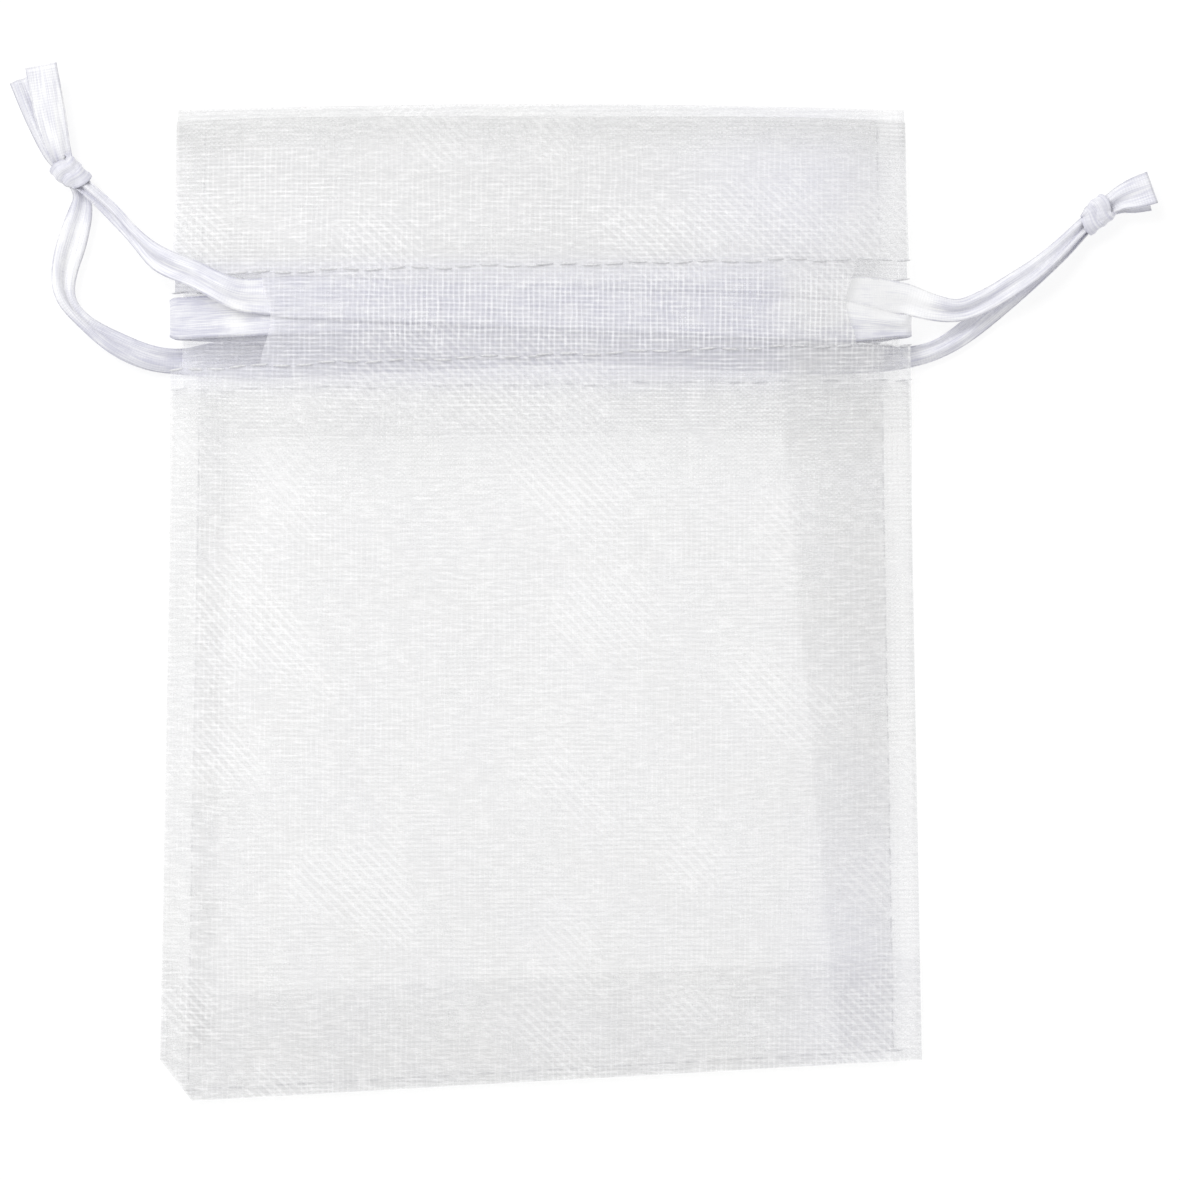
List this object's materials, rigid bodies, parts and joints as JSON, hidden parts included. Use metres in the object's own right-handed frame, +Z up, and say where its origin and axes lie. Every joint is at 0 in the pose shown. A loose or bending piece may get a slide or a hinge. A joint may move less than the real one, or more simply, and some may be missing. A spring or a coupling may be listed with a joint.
{
  "type": "drawstring gift pouch",
  "caption": "Small flat gift pouch of sheer white organza with a stitched casing and two satin ribbons, each running through it and knotted outside on opposite sides.",
  "frame": {"origin": "on the surface that the pouch lies on, under the middle of the cloth's bounding box", "axes": "+Y up the pouch from the bottom seam to the mouth, +X to the right seen from the front, +Z up out of the front panel; the pouch lies on its back panel"},
  "size_m": [0.1092, 0.0988, 0.0094],
  "materials": {
    "organza": "sheer plain weave of fine monofilament, crisp, with a slight shimmer",
    "satin_ribbon": "narrow woven satin, glossy along its length",
    "sewing_thread": "fine spun polyester thread"
  },
  "bodies": {
    "pouch": {"front_panel": "organza", "back_panel": "organza", "front_upper_casing_stitch": "sewing_thread", "front_lower_casing_stitch": "sewing_thread", "back_upper_casing_stitch": "sewing_thread", "back_lower_casing_stitch": "sewing_thread", "left_side_seam": "sewing_thread", "right_side_seam": "sewing_thread", "left_header_seam": "sewing_thread", "right_header_seam": "sewing_thread", "bottom_seam": "sewing_thread"},
    "left_drawstring": {"left_ribbon_front_run": "satin_ribbon", "left_ribbon_back_run": "satin_ribbon", "left_ribbon_turn": "satin_ribbon", "left_ribbon_front_strand": "satin_ribbon", "left_ribbon_back_strand": "satin_ribbon", "left_ribbon_knot": "satin_ribbon", "left_ribbon_upper_tail": "satin_ribbon", "left_ribbon_lower_tail": "satin_ribbon"},
    "right_drawstring": {"right_ribbon_front_run": "satin_ribbon", "right_ribbon_back_run": "satin_ribbon", "right_ribbon_turn": "satin_ribbon", "right_ribbon_front_strand": "satin_ribbon", "right_ribbon_back_strand": "satin_ribbon", "right_ribbon_knot": "satin_ribbon", "right_ribbon_upper_tail": "satin_ribbon", "right_ribbon_lower_tail": "satin_ribbon"}
  },
  "joints": [
    {"name": "left_drawstring_pull", "type": "slide", "parent": "pouch", "child": "left_drawstring", "axis": [-1, 0, 0], "range_m": [0, 0.021], "deforming": ["front_panel", "back_panel", "front_upper_casing_stitch", "front_lower_casing_stitch", "back_upper_casing_stitch", "back_lower_casing_stitch", "left_side_seam", "right_side_seam", "left_header_seam", "right_header_seam", "bottom_seam", "left_ribbon_front_run", "left_ribbon_back_run", "left_ribbon_turn"]},
    {"name": "right_drawstring_pull", "type": "slide", "parent": "pouch", "child": "right_drawstring", "axis": [1, 0, 0], "range_m": [0, 0.021], "deforming": ["front_panel", "back_panel", "front_upper_casing_stitch", "front_lower_casing_stitch", "back_upper_casing_stitch", "back_lower_casing_stitch", "left_side_seam", "right_side_seam", "left_header_seam", "right_header_seam", "bottom_seam", "right_ribbon_front_run", "right_ribbon_back_run", "right_ribbon_turn"]}
  ]
}
